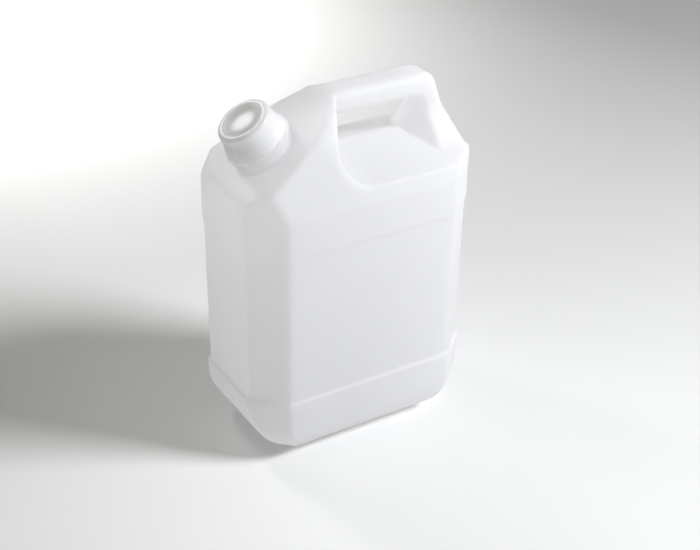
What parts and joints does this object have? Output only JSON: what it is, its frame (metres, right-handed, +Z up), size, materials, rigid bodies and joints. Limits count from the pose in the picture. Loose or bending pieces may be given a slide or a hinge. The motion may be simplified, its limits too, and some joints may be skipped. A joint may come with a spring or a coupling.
{
  "type": "square plastic jug",
  "caption": "Square blow-moulded jug with cut corners, sloped shoulder, moulded-through handle and tilted neck with a screw cap, for household and toiletry liquids.",
  "frame": {"origin": "middle of the base plane that the jug stands on", "axes": "+Z up, +X along the jug from the neck to the handle's leg, +Y across the jug to its back face"},
  "size_m": [0.19, 0.112, 0.2727],
  "materials": {
    "natural_hdpe": "milky translucent natural polyethylene with a soft satin sheen",
    "white_cap": "smooth white moulded polypropylene",
    "liner_foam": "white foamed polyethylene disc"
  },
  "bodies": {
    "jug_body": {"jug": "natural_hdpe"},
    "liner_body": {"liner": "liner_foam"},
    "cap_body": {"cap": "white_cap"}
  },
  "joints": [
    {"name": "cap_rise", "type": "slide", "parent": "jug_body", "child": "liner_body", "axis": [-0.5373, 0, 0.8434], "range_m": [0, 0.0071]},
    {"name": "cap_turn", "type": "hinge", "parent": "liner_body", "child": "cap_body", "pos_m": [-0.0599, 0, 0.23636], "axis": [-0.5373, 0, 0.8434], "range_deg": [0, 630]}
  ],
  "couplings": [
    {"joint": "cap_rise", "follows": "cap_turn", "m_per_rad": 0.00063662}
  ]
}
